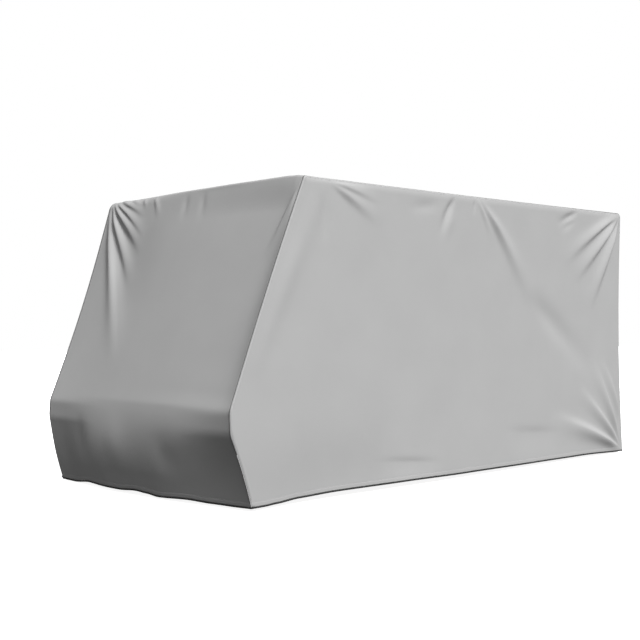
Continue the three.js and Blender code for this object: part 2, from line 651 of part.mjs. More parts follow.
// Round stretches are stepped by angle and straight ones by length
function weltDistances({ stretches, length }) {
  const turnStep = Math.PI / 12;
  const lengthStep = 170;
  const end = length - SIDE_HEM_RISE[0].rise - 2 * WELT_INSET;
  const places = stretches.flatMap((stretch) => {
    const count = Math.ceil(stretch.centre ? stretch.turn / turnStep : stretch.length / lengthStep);
    return Array.from({ length: count }, (_, step) => stretch.from + stretch.length * step / count);
  });
  return [WELT_INSET, ...places.slice(1), end];
}

// The binding hangs just below the panels' hem all round, so its ring runs through their bottom points.
// Points that lie too close together for its width are left out.
function hemBinding(panels) {
  const bottomPoints = panels.flatMap(({ surface, reverse }) => {
    const bottom = Array.from({ length: surface.columns }, (_, column) => {
      const inward = surface.normals[column].clone().setZ(0).normalize();
      return surface.points[column].clone().addScaledVector(inward, -HEM_SHEET / 2);
    });
    return reverse ? bottom.reverse() : bottom;
  });
  const path = [];
  for (const point of bottomPoints) {
    if (path.every((kept) => kept.distanceTo(point) > BINDING_WIDTH)) path.push(point);
  }
  const rings = path.map((point, index) => {
    const before = path[(index + path.length - 1) % path.length];
    const after = path[(index + 1) % path.length];
    const direction = after.clone().sub(before).setZ(0).normalize();
    const aside = new THREE.Vector3(-direction.y, direction.x, 0).multiplyScalar(BINDING_WIDTH / 2);
    const top = point.clone().setZ(point.z - GAP);
    const bottom = top.clone().setZ(top.z - BINDING_HEIGHT);
    const back = aside.clone().negate();
    const corners = [[top, aside], [top, back], [bottom, back], [bottom, aside]];
    return corners.map(([from, step]) => from.clone().add(step));
  });
  return ringBody(rings, true);
}

function mesh(name, geometry, material) {
  geometry.computeVertexNormals();
  const piece = new THREE.Mesh(geometry, material);
  piece.name = name;
  return piece;
}

const leftSide = sidePanel(1, LEFT_FOLDS, SIDE_LEFT_GRID);
const rightSide = sidePanel(-1, RIGHT_FOLDS, SIDE_RIGHT_GRID);
const front = frontPanel();
const rear = rearPanel();
const bindingRoute = [
  { surface: leftSide, reverse: false },
  { surface: front, reverse: true },
  { surface: rightSide, reverse: true },
  { surface: rear, reverse: false },
];

const cover = new THREE.Group();
cover.name = 'caravan_cover';
cover.add(
  mesh('roof_panel', thicken(roofPanel()), PANEL_CLOTH),
  mesh('front_panel', thicken(front), PANEL_CLOTH),
  mesh('rear_panel', thicken(rear), PANEL_CLOTH),
  mesh('side_panel_left', thicken(leftSide), PANEL_CLOTH),
  mesh('side_panel_right', thicken(rightSide), PANEL_CLOTH),
  mesh('seam_welt_left', seamWelt(1), WELT_CLOTH),
  mesh('seam_welt_right', seamWelt(-1), WELT_CLOTH),
  mesh('hem_binding', hemBinding(bindingRoute), BINDING_TAPE),
);

export default cover;
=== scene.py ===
import math

import bmesh
import bpy
import numpy as np
from mathutils import Matrix, Vector


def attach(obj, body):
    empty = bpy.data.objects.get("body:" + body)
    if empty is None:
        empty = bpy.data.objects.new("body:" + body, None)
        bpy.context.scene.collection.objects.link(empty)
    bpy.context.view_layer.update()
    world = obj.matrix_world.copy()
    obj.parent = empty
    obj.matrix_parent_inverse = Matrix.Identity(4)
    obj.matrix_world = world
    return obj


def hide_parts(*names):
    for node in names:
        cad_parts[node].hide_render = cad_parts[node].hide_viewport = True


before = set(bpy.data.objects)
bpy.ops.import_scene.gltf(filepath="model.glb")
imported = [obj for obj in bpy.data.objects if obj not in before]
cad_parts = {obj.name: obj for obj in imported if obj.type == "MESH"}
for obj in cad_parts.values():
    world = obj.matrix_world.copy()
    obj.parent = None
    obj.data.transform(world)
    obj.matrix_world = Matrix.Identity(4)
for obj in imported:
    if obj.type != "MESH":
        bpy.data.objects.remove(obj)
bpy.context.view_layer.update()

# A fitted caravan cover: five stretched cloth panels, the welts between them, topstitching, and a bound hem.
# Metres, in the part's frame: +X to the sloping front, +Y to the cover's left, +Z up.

# Driving sizes, the same as the solids'. The roof is crowned, its side edges dip and its rear edge is lower,
# and the rear's upright edges draw in.
COVER_WIDTH = 1.950
COVER_HEIGHT = 1.878
ROOF_LENGTH = 3.486
ROOF_CROWN = 0.020
CORNER_RADIUS = 0.020
REAR_FALL = 0.007
REAR_EDGE_BOW = 0.040
ROOF_EDGE_BOW = 0.004
SHEET = 0.002
GAP = 0.0003

# A side panel turns in over this depth to its seam, along an edge rounded by these widths, and its rows
# follow the roof's line by this power of their height. Folds fade out over this width beside welts and seams.
EDGE_FALL = 0.010
EDGE_ROUNDING = 0.006
EDGE_ROUNDING_STEPS = 6
TOP_ROUNDING = 0.045
TOP_ROUNDING_STEPS = 10
TUCK_ROUNDING = 0.030
TOP_FOLLOWS = 6
FOLD_CLEARANCE = 0.020

# The middle's fullness fades towards each side over its reach. The knee lies at this drop below the roof's
# edge. Round it the left's reach is shorter, and from it down the right's is, and starts further in.
MIDDLE_REACH = 0.800
KNEE_DROP = 1.440
KNEE_SPREAD = 0.170
LEFT_KNEE_REACH = 0.560
RIGHT_KNEE_REACH = 0.560
RIGHT_INSET = 0.100

# The welts, which stop just short of the hem, and the binding
WELT_WIDTH = 0.005
WELT_END = 0.002
WELT_CORNERS = 12
WELT_ROUND_POINTS = 40
WELT_STRAIGHT_POINTS = 60
BINDING_WIDTH = 0.005
BINDING_HEIGHT = 0.010
BINDING_BEVEL = 0.0012
BINDING_STEP = 0.020

# The hem: the cloth turned up once, a little proud, and sewn along a shallow furrow
HEM_DEPTH = 0.032
HEM_STITCHES = 0.026
HEM_PROUD = 0.0008
FURROW = 0.0009
FURROW_WIDTH = 0.004

# Sewing thread: the length of one stitch, the thread's half thickness, and how far a row lies from its seam.
# Between stitches the thread narrows and dives, and on top its middle lies this many half thicknesses up.
STITCH = 0.006
STITCH_POINTS = 4
THREAD = 0.00045
THREAD_CORNERS = 4
DIVE_WIDTH = 0.35
DIVE_LIFT = -0.4
THREAD_LIFT = 0.5
SEAM_STITCHES = 0.008
STITCH_ROUTE_POINTS = 3000

# How much larger a cloth's cells get for each metre away from the places that need small ones: along a side
# panel, up it, and on the other panels. A side panel's tallest cell is this share of its longest.
SIDE_GROWTH = 0.022
ROW_GROWTH = 0.035
WRAP_GROWTH = 0.024
ROW_SHARE = 0.8

# A side panel's small cells: their height at the hem's stitches and at the top, and their length at the rear
# and at the front
HEM_ROW = 0.0022
TOP_ROW = 0.004
REAR_COLUMN = 0.004
FRONT_COLUMN = 0.005

# How many points a line is walked with when places on it are looked up
GRADING_POINTS = 6000
LEVEL_POINTS = 8000
ROOF_LINE_POINTS = 300
REAR_LINE_POINTS = 3000
FRONT_LINE_POINTS = 5000
SIDE_SEAM_POINTS = 4000
HEIGHT_POINTS = 800

# A step over a surface, small enough to tell which way it faces, and the distance at which points are one
NUDGE = 0.0005
MERGE_DISTANCE = 1e-6

# How fine the weave is, on the cloth's own length and width
WEAVE_SCALE = 420.0

# The pale floor lies just below the binding
FLOOR_RADIUS = 40
FLOOR_CORNERS = 96
FLOOR_GAP = 0.012

ROOF_EDGE = SHEET - ROOF_CROWN
HEM = ROOF_EDGE - COVER_HEIGHT
HALF_WIDTH = COVER_WIDTH / 2
HALF_ROOF = ROOF_LENGTH / 2
SEAM_Y = HALF_WIDTH - EDGE_FALL
WELT_Y = SEAM_Y - GAP - WELT_WIDTH / 2
WRAP_HALF_WIDTH = SEAM_Y - 2 * GAP - WELT_WIDTH

# The front edge's corners from the roof down: how far forward of the roof and how far below its edge, the
# radius that rounds the corner, and how far the edge that starts there draws in. The two sides hang a
# little differently, and the middle of the front bellies out below the knee.
# Columns: forward, drop, radius, bow
LEFT_FRONT = [
    (-0.019, 0, CORNER_RADIUS, -0.009),
    (0.556, 1.335, 0.100, 0),
    (0.5535, 1.456, 0.160, 0.008),
    (0.401, COVER_HEIGHT, 0, 0),
]
MIDDLE_FRONT = [
    (0, 0, CORNER_RADIUS, 0),
    (0.524, 1.320, 0.120, 0),
    (0.577, 1.556, 0.760, 0),
    (0.475, COVER_HEIGHT, 0, 0),
]
RIGHT_FRONT = [
    (0, 0, 0.070, 0.022),
    (0.500, 1.355, 0.090, 0),
    (0.508, 1.470, 0.150, -0.009),
    (0.409, COVER_HEIGHT, 0, 0),
]

# How far the roof's front edge rises above the roof's other edges. The rise dies away over this reach along
# the cloth, and moves the edge forward by this share. Columns: across to the left, rise
FRONT_EDGE_RISE = [
    (-0.975, 0), (-0.600, 0.001), (0, 0.007), (0.500, 0.0105), (0.820, 0.0128), (0.900, 0.010),
    (0.960, 0.003),
]
FRONT_EDGE_REACH = 0.12
FRONT_EDGE_FORWARD = 0.3

# How far the front sinks in beside its left edge. Columns: down along the cloth, depth
NEAR_EDGE_DRAW = [
    (0, 0), (0.220, 0.0195), (0.500, 0.0215), (1.100, 0.0175), (1.330, 0.012), (1.500, 0),
]
DRAW_REACH = 0.075
DRAW_SPREAD = 1.300

# How far the welt stands proud. Columns: distance along the side's outline from the rear hem, rise
WELT_RISE = [(0, 0.0012), (1.700, 0.0012), (1.920, 0.0040), (2.900, 0.0030), (4.200, 0.0020), (5.300, 0.0012)]

# Folds. Each runs from one point of its panel to another: height is above zero for a ridge and below it for
# a trough, width is half its breadth at either end, lean makes one flank steeper than the other, bow bends
# it sideways, and peak is where along it the height is greatest. On the side panels the first two columns
# are the distance back from the roof's front edge and down from the roof's edge.
# Columns: back, down, to back, to down, height, width, to width, lean, bow, peak
LEFT_FOLDS = [
    (0.225, 0.008, 0.700, 0.110, 0.011, 0.014, 0.044, 0.3, 0, 0.3),
    (0.215, 0.016, 0.700, 0.250, 0.0135, 0.016, 0.060, 0.2, 0, 0.32),
    (0.900, 0.130, 1.280, 0.080, -0.005, 0.036, 0.040, 0, 0, 0.5),
    (1.410, 0.012, 1.230, 0.330, -0.014, 0.014, 0.040, 0, -0.018, 0.3),
    (1.400, 0.110, 1.260, 0.340, 0.004, 0.034, 0.044, 0, 0, 0.4),
    (1.612, 0.012, 1.600, 0.140, -0.005, 0.010, 0.016, 0, 0, 0.4),
    (1.636, 0.012, 1.820, 0.310, 0.008, 0.011, 0.028, 0, 0, 0.3),
    (1.668, 0.010, 2.360, 0.840, 0.023, 0.014, 0.100, 0.25, 0.018, 0.25),
    (2.200, 0.640, 3.200, 1.340, -0.015, 0.070, 0.105, 0, 0, 0.3),
    (2.890, 0.020, 2.570, 0.150, -0.012, 0.016, 0.034, 0, 0, 0.4),
    (2.860, 0.090, 2.620, 0.196, -0.005, 0.018, 0.028, 0, 0, 0.5),
    (3.456, 0.008, 2.640, 0.450, 0.024, 0.017, 0.056, -0.35, -0.016, 0.3),
    (3.440, 0.030, 3.240, 0.130, 0.005, 0.009, 0.016, -0.2, 0, 0.4),
    (3.474, 0.012, 2.760, 0.590, 0.030, 0.017, 0.060, -0.4, 0.015, 0.28),
    (3.478, 0.026, 2.990, 0.810, 0.028, 0.016, 0.058, -0.4, 0.007, 0.28),
    (3.460, 1.872, 2.440, 1.565, 0.034, 0.018, 0.085, 0.35, -0.030, 0.25),
    (3.458, 1.860, 2.800, 1.330, 0.025, 0.016, 0.064, 0.35, -0.022, 0.3),
    (3.454, 1.834, 3.030, 1.120, 0.025, 0.016, 0.060, 0.3, -0.011, 0.35),
    (3.452, 1.670, 3.170, 1.150, 0.014, 0.016, 0.044, 0.3, -0.034, 0.4),
    (0.560, 1.735, 1.290, 1.800, -0.006, 0.060, 0.060, -0.5, 0, 0.5),
    (1.850, 1.640, 2.700, 1.700, -0.006, 0.080, 0.080, -0.5, 0, 0.5),
    (-0.750, 1.930, 1.150, 1.900, -0.032, 0.320, 0.320, 0, 0, 0.45),
    (0.160, 0.060, 0.170, 0.460, -0.004, 0.032, 0.044, 0, 0, 0.4),
    (0.310, -0.250, -0.475, 1.300, 0.0075, 0.090, 0.045, 0, 0, 0.5),
]
RIGHT_FOLDS = [
    (0.030, 0.012, 0.520, 0.330, 0.011, 0.013, 0.044, -0.35, 0, 0.3),
    (0.030, 0.030, 0.300, 0.520, 0.011, 0.013, 0.044, -0.35, 0, 0.35),
    (0.900, 0.016, 0.760, 0.260, -0.007, 0.014, 0.034, 0, 0, 0.35),
    (1.900, 0.016, 1.500, 0.420, 0.008, 0.013, 0.050, 0, 0.030, 0.3),
    (2.700, 0.020, 2.450, 0.190, -0.007, 0.014, 0.034, 0, 0, 0.4),
    (3.462, 0.012, 2.780, 0.390, 0.012, 0.013, 0.046, -0.35, 0, 0.25),
    (3.474, 0.020, 2.900, 0.540, 0.013, 0.013, 0.046, -0.4, 0, 0.3),
    (3.476, 0.040, 3.050, 0.720, 0.012, 0.013, 0.044, -0.4, 0, 0.25),
    (3.456, 1.866, 2.650, 1.630, 0.014, 0.014, 0.052, 0.3, -0.020, 0.3),
    (3.452, 1.830, 2.950, 1.420, 0.012, 0.014, 0.046, 0.35, 0, 0.3),
    (3.450, 1.780, 3.130, 1.250, 0.010, 0.014, 0.042, 0.3, 0, 0.35),
    (0.200, 1.760, 1.100, 1.650, -0.008, 0.044, 0.060, 0, 0, 0.5),
    (1.500, 1.640, 2.400, 1.700, -0.007, 0.060, 0.070, 0, 0, 0.5),
]

# On the front and rear panels the first two columns are the distance across to the cover's left and down
# along the cloth from the roof's edge. On the roof they are across and back from the roof's front edge.
# Columns: across, down, to across, to down, height, width, to width, lean, bow, peak
FRONT_FOLDS = [
    (-0.985, 0.010, -0.265, 1.267, 0.028, 0.018, 0.105, 0.10, -0.029, 0.28),
    (-0.960, 0.010, -0.190, 1.267, -0.020, 0.100, 0.360, 0.80, -0.029, 0.38),
    (-0.950, 0.012, -0.430, 0.685, 0.033, 0.015, 0.054, 0.30, -0.011, 0.28),
    (-0.940, 0.008, -0.420, 0.429, 0.029, 0.013, 0.052, 0.36, 0, 0.28),
    (-0.920, 0.006, -0.420, 0.329, 0.020, 0.012, 0.044, 0.42, 0.019, 0.28),
    (-0.885, 0.005, -0.490, 0.156, 0.016, 0.012, 0.036, 0.3, 0.013, 0.3),
    (-0.735, 0.008, -0.580, 0.057, 0.007, 0.010, 0.018, 0, 0, 0.4),
    (-0.580, 0.008, -0.516, 0.110, 0.006, 0.009, 0.016, 0.2, 0.005, 0.3),
    (-0.455, 0.008, -0.344, 0.196, 0.008, 0.011, 0.024, 0.2, 0.011, 0.3),
    (-0.085, 0.015, -0.070, 0.230, -0.006, 0.016, 0.028, 0, 0, 0.4),
    (0.080, 0.015, 0.120, 0.250, -0.005, 0.018, 0.030, 0, 0, 0.4),
    (0.955, 0.060, 0.825, 0.550, 0.009, 0.016, 0.045, 0.45, 0, 0.30),
    (-0.560, 1.500, -0.600, 1.890, -0.009, 0.070, 0.080, 0, 0, 0.5),
    (-0.150, 1.480, -0.190, 1.900, 0.008, 0.110, 0.110, 0, 0, 0.5),
    (0.330, 1.560, 0.360, 1.900, -0.006, 0.090, 0.090, 0, 0, 0.5),
]
REAR_FOLDS = [
    (-0.945, 0.012, -0.500, 0.480, 0.013, 0.013, 0.046, 0.35, 0, 0.3),
    (-0.935, 0.010, -0.420, 0.240, 0.011, 0.012, 0.040, 0.35, 0, 0.3),
    (0.945, 0.012, 0.450, 0.400, 0.013, 0.013, 0.046, -0.35, 0, 0.3),
    (0.940, 0.030, 0.640, 0.640, 0.012, 0.013, 0.046, -0.35, 0, 0.3),
    (-0.200, 0.020, -0.230, 0.420, -0.007, 0.024, 0.046, 0, 0, 0.4),
    (0.310, 0.020, 0.280, 0.320, -0.006, 0.024, 0.040, 0, 0, 0.4),
    (-0.945, 1.850, -0.420, 1.540, 0.013, 0.014, 0.050, 0.3, 0, 0.3),
    (0.945, 1.850, 0.500, 1.480, 0.013, 0.014, 0.050, -0.3, 0, 0.3),
    (-0.300, 1.300, -0.340, 1.870, 0.008, 0.090, 0.090, 0, 0, 0.7),
    (0.260, 1.250, 0.290, 1.870, -0.008, 0.090, 0.090, 0, 0, 0.7),
    (0.930, 0.900, -0.930, 0.980, -0.012, 0.600, 0.500, 0, 0, 0.5),
]
ROOF_FOLDS = [
    (-0.935, 0.020, -0.420, 0.520, -0.009, 0.018, 0.054, 0, 0, 0.3),
    (0.935, 0.020, 0.480, 0.470, -0.009, 0.018, 0.054, 0, 0, 0.3),
    (-0.935, 3.465, -0.380, 2.950, -0.010, 0.018, 0.058, 0, 0, 0.3),
    (0.935, 3.465, 0.430, 2.900, -0.010, 0.018, 0.058, 0, 0, 0.3),
    (-0.900, 1.180, -0.420, 1.240, -0.006, 0.034, 0.056, 0, 0, 0.4),
    (0.900, 2.240, 0.400, 2.310, -0.006, 0.034, 0.056, 0, 0, 0.4),
]

# How far the hem rises above the level HEM: place and rise. Places on a side are measured back from the
# front panel, and on the front and rear across to the cover's left.
SIDE_HEM_RISE = [
    (0, 0.008), (0.100, 0.008), (0.200, 0.012), (0.380, 0.022), (0.700, 0.0275), (1.300, 0.026),
    (1.900, 0.020), (2.700, 0.016), (3.300, 0.014), (3.910, 0),
]
FRONT_HEM_RISE = [
    (-0.975, 0), (-0.815, -0.004), (-0.560, 0.016), (-0.195, 0.010), (-0.020, 0.020), (0.090, 0.014),
    (0.200, 0.004), (0.460, 0.012), (0.640, 0.006), (0.820, 0.005), (0.975, 0.008),
]
REAR_HEM_RISE = [(-0.975, 0), (-0.700, 0.012), (-0.250, 0.006), (0.150, 0.015), (0.600, 0.010), (0.975, 0)]


def smooth(value):
    """A share that starts and ends gently."""
    share = np.clip(value, 0, 1)
    return share * share * (3 - 2 * share)


def rise_at(table, place):
    """The smooth line through a rise table's rows."""
    places, rises = (np.array(column, dtype=float) for column in zip(*table))
    place = np.clip(place, places[0], places[-1])
    after = np.clip(np.searchsorted(places, place), 1, len(places) - 1)
    share = smooth((place - places[after - 1]) / (places[after] - places[after - 1]))
    return rises[after - 1] + (rises[after] - rises[after - 1]) * share


def fold_height(folds, first, second):
    """The height of a panel's folds over arrays of its two coordinates."""
    height = np.zeros(np.broadcast(first, second).shape)
    for start_a, start_b, end_a, end_b, peak_height, width, to_width, lean, bow, peak in folds:
        reach_a, reach_b = end_a - start_a, end_b - start_b
        length = math.hypot(reach_a, reach_b)
        off_a, off_b = first - start_a, second - start_b
        along = np.clip((off_a * reach_a + off_b * reach_b) / length**2, 0, 1)
        aside = (off_a * reach_b - off_b * reach_a) / length - bow * 4 * along * (1 - along)
        breadth = (width + (to_width - width) * along) * (1 + lean * np.sign(aside))
        fade = np.where(along < peak, smooth(along / peak), smooth((1 - along) / (1 - peak)))
        height += peak_height * fade * np.exp(-((aside / breadth) ** 2))
    return height


def outline_of(front_corners):
    """An outline from the rear hem over the roof to the front hem, as straight and round stretches."""
    corners = [
        (-HALF_ROOF, HEM, 0, REAR_EDGE_BOW),
        (-HALF_ROOF, ROOF_EDGE - REAR_FALL, CORNER_RADIUS, ROOF_EDGE_BOW),
    ]
    for forward, drop, radius, bow in front_corners:
        corners.append((HALF_ROOF + forward, ROOF_EDGE - drop, radius, bow))
    roundings = [EDGE_ROUNDING, TOP_ROUNDING, EDGE_ROUNDING, EDGE_ROUNDING, TUCK_ROUNDING]
    rounded = []
    for index, (x, z, radius, _) in enumerate(corners):
        here = Vector((x, z))
        if not radius:
            rounded.append((here, here, None, 0, 0))
            continue
        arriving = (here - Vector(corners[index - 1][:2])).normalized()
        leaving = (Vector(corners[index + 1][:2]) - here).normalized()
        turn = arriving.angle(leaving)
        tangent = radius * math.tan(turn / 2)
        start, end = here - arriving * tangent, here + leaving * tangent
        centre = start + Vector((arriving.y, -arriving.x)) * radius
        rounded.append((start, end, centre, turn, radius))
    stretches = []
    for index, (start, end, centre, turn, radius) in enumerate(rounded):
        if centre:
            stretches.append({"start": start, "end": end, "length": radius * turn, "centre": centre,
                              "turn": turn, "radius": radius, "rounding": roundings[index - 1:index + 1]})
        if index < len(rounded) - 1:
            to = rounded[index + 1][0]
            stretches.append({"start": end, "end": to, "length": (to - end).length, "centre": None,
                              "bow": corners[index][3], "rounding": roundings[index:index + 1]})
    starts = np.concatenate([[0], np.cumsum([stretch["length"] for stretch in stretches])])
    return {"stretches": stretches, "starts": starts, "length": starts[-1]}


SIDE_OUTLINES = {1: outline_of(LEFT_FRONT), -1: outline_of(RIGHT_FRONT)}
MIDDLE_OUTLINE = outline_of(MIDDLE_FRONT)
ROOF_START, ROOF_END = MIDDLE_OUTLINE["starts"][2:4]


def outline_at(outline, distance):
    """An outline's x and z, and its outward normal's x and z, at distances along it."""
    distance = np.asarray(distance, dtype=float)
    x, z, out_x, out_z = (np.zeros(distance.shape) for _ in range(4))
    stretches, starts = outline["stretches"], outline["starts"]
    for index, stretch in enumerate(stretches):
        last = index == len(stretches) - 1
        here = distance >= starts[index] if index else np.full(distance.shape, True)
        here = here & (np.full(distance.shape, True) if last else distance < starts[index + 1])
        share = (distance[here] - starts[index]) / stretch["length"]
        if stretch["centre"]:
            arm = stretch["start"] - stretch["centre"]
            angle = math.atan2(arm.y, arm.x) - stretch["turn"] * share
            out_x[here], out_z[here] = np.cos(angle), np.sin(angle)
            x[here] = stretch["centre"].x + stretch["radius"] * out_x[here]
            z[here] = stretch["centre"].y + stretch["radius"] * out_z[here]
            continue
        direction = (stretch["end"] - stretch["start"]).normalized()
        bow = stretch["bow"] * np.sin(math.pi * np.clip(share, 0, 1))
        out_x[here], out_z[here] = -direction.y, direction.x
        x[here] = stretch["start"].x + direction.x * share * stretch["length"] + direction.y * bow
        z[here] = stretch["start"].y + direction.y * share * stretch["length"] - direction.x * bow
    return x, z, out_x, out_z


def on_side_outline(outline, distance, level):
    """The distances along a side's outline that meet those along the middle's: the same share of the same
    stretch up to the roof's end, and the same level below it."""
    roof_end, end = outline["starts"][3], outline["length"] + HEM_DEPTH
    walk = np.linspace(roof_end, end, LEVEL_POINTS)
    falling = outline_at(outline, walk)[1]
    matched = np.interp(distance, MIDDLE_OUTLINE["starts"][:4], outline["starts"][:4])
    return np.where(distance > ROOF_END, np.interp(-level, -falling, walk), matched)


def fullness(level, y):
    """How much of the middle's fullness a place has. Beside the knee it comes sooner on the left, and below
    the knee it starts further in on the right."""
    drop = ROOF_EDGE - level
    at_knee = np.exp(-(((drop - KNEE_DROP) / KNEE_SPREAD) ** 2))
    below = smooth((drop - KNEE_DROP) / KNEE_SPREAD + 1)
    from_left = (WRAP_HALF_WIDTH - y) / (MIDDLE_REACH + (LEFT_KNEE_REACH - MIDDLE_REACH) * at_knee)
    right_reach = MIDDLE_REACH + (RIGHT_KNEE_REACH - MIDDLE_REACH) * below
    from_right = (WRAP_HALF_WIDTH + y - RIGHT_INSET * below) / right_reach
    return smooth(np.minimum(from_left, from_right))


def across_cover(distance, y):
    """The outline at places across the cover: it runs evenly from one side's to the other's, and the middle's
    fullness is added between them. The distances are along the middle's outline."""
    middle = outline_at(MIDDLE_OUTLINE, distance)
    left, right = (
        outline_at(outline, on_side_outline(outline, distance, middle[1]))
        for outline in (SIDE_OUTLINES[1], SIDE_OUTLINES[-1]))
    to_right = np.clip(0.5 - y / (2 * WRAP_HALF_WIDTH), 0, 1)
    to_middle = fullness(middle[1], y)
    x, z, out_x, out_z = (
        a + (b - a) * to_right + (c - (a + b) / 2) * to_middle for a, b, c in zip(left, right, middle))
    rise = rise_at(FRONT_EDGE_RISE, y) * np.exp(-(((distance - ROOF_END) / FRONT_EDGE_REACH) ** 2))
    x, z = x + FRONT_EDGE_FORWARD * rise, z + rise
    size = np.hypot(out_x, out_z)
    return x, z, out_x / size, out_z / size


def inside_outline(outline, x, z):
    """How far points of a side panel lie inside its outline, and that as a share of the edge's rounding."""
    depth = np.full(np.broadcast(x, z).shape, np.inf)
    share = np.full(depth.shape, np.inf)
    for stretch in outline["stretches"]:
        if stretch["centre"]:
            arm_x, arm_z = x - stretch["centre"].x, z - stretch["centre"].y
            first = stretch["start"] - stretch["centre"]
            last = stretch["end"] - stretch["centre"]
            within = (first.x * arm_z - first.y * arm_x <= 0) & (arm_x * last.y - arm_z * last.x <= 0)
            turned = np.arctan2(first.y, first.x) - np.arctan2(arm_z, arm_x)
            before, after = stretch["rounding"]
            rounding = before + (after - before) * np.clip(turned / stretch["turn"], 0, 1)
            here = stretch["radius"] - np.hypot(arm_x, arm_z)
            depth = np.where(within, here, depth)
            share = np.where(within, here / rounding, share)
            continue
        direction = (stretch["end"] - stretch["start"]).normalized()
        off_x, off_z = x - stretch["start"].x, z - stretch["start"].y
        along = (off_x * direction.x + off_z * direction.y) / stretch["length"]
        bow = stretch["bow"] * np.sin(math.pi * np.clip(along, 0, 1))
        here = off_x * direction.y - off_z * direction.x - bow
        beside = (along >= 0) & (along <= 1)
        depth = np.where(beside, np.minimum(depth, here), depth)
        share = np.where(beside, np.minimum(share, here / stretch["rounding"][0]), share)
    return depth, share


def graded(length, fine, growth, largest):
    """Places along a line whose cells are as small as stated at some places, and grow away from them."""
    walk = np.linspace(0, length, GRADING_POINTS)
    cell = np.full(walk.shape, largest)
    for place, smallest in fine:
        cell = np.minimum(cell, smallest + growth * np.abs(walk - place))
    cells = np.concatenate([[0], np.cumsum(np.diff(walk) / cell[1:])])
    return np.interp(np.linspace(0, cells[-1], round(cells[-1]) + 1), cells, walk)


def rounding_steps(width, count):
    """Steps in from an edge, so that the rounded edge is turned by even angles."""
    return width * (1 - np.cos(np.linspace(0, math.pi / 2, count + 1)))


EDGE_STEPS = rounding_steps(EDGE_ROUNDING, EDGE_ROUNDING_STEPS)
TOP_STEPS = rounding_steps(TOP_ROUNDING, TOP_ROUNDING_STEPS)


def hem_relief(above):
    """How far the turned-up hem stands out, by the height above the cloth's bottom edge."""
    turned_up = HEM_PROUD * (1 - smooth((above - HEM_STITCHES) / (HEM_DEPTH - HEM_STITCHES)))
    return turned_up - FURROW * np.exp(-(((above - HEM_STITCHES) / FURROW_WIDTH) ** 2))


def level_at(outline, x, height):
    """The level of a side panel's row: its top follows the roof's line, and the cloth soon loses it below."""
    along_roof = np.linspace(*outline["starts"][2:4], ROOF_LINE_POINTS)
    roof_x, roof_z, _, _ = outline_at(outline, along_roof)
    off_roof_edge = np.interp(x, roof_x, roof_z) - ROOF_EDGE
    return HEM + height + off_roof_edge * (height / COVER_HEIGHT) ** TOP_FOLLOWS


def side_surface(side, folds):
    """The place of points of a side panel, by their x and their height above the level HEM."""
    outline = SIDE_OUTLINES[side]
    front_end = outline["stretches"][-1]["end"].x

    def place(x, height):
        share = height / COVER_HEIGHT
        z = level_at(outline, x, height)
        depth, depth_share = inside_outline(outline, x, z)
        inset = 1 - np.clip(depth_share, 0, 1)
        fade = smooth((depth - EDGE_ROUNDING) / FOLD_CLEARANCE)
        y = SEAM_Y + EDGE_FALL * np.sqrt(1 - inset**2)
        y = y + fade * fold_height(folds, HALF_ROOF - x, ROOF_EDGE - z) + hem_relief(height)
        rise = rise_at(SIDE_HEM_RISE, front_end - x) * (1 - share) ** 2
        return x, side * y, z + rise

    return place


def make_object(name, bm, material):
    """A finished piece from a bmesh, which rides on the one body."""
    mesh = bpy.data.meshes.new(name)
    bm.to_mesh(mesh)
    bm.free()
    mesh.materials.append(material)
    mesh.polygons.foreach_set("use_smooth", [True] * len(mesh.polygons))
    piece = bpy.data.objects.new(name, mesh)
    bpy.context.collection.objects.link(piece)
    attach(piece, "root")
    return piece


def cloth_grid(name, columns, rows, place, flat, material, outward):
    """A sheet from a grid: place gives each point's position and flat its place on the uncut cloth."""
    bm = bmesh.new()
    bmesh.ops.create_grid(bm, x_segments=columns - 1, y_segments=rows - 1, size=0.5)
    column = np.array([round((vert.co.x + 0.5) * (columns - 1)) for vert in bm.verts])
    row = np.array([round((vert.co.y + 0.5) * (rows - 1)) for vert in bm.verts])
    positions = np.stack(place(column, row), axis=-1)
    on_cloth = np.stack(flat(column, row), axis=-1)
    for vert, position in zip(bm.verts, positions):
        vert.co = position
    layer = bm.loops.layers.uv.new("cloth")
    for face in bm.faces:
        for loop in face.loops:
            loop[layer].uv = on_cloth[loop.vert.index]
    bm.normal_update()
    bm.faces.ensure_lookup_table()
    if bm.faces[len(bm.faces) // 2].normal.dot(Vector(outward)) < 0:
        bmesh.ops.reverse_faces(bm, faces=bm.faces)
    piece = make_object(name, bm, material)
    sheet = piece.modifiers.new("sheet", "SOLIDIFY")
    sheet.thickness = SHEET
    sheet.offset = -1
    return piece


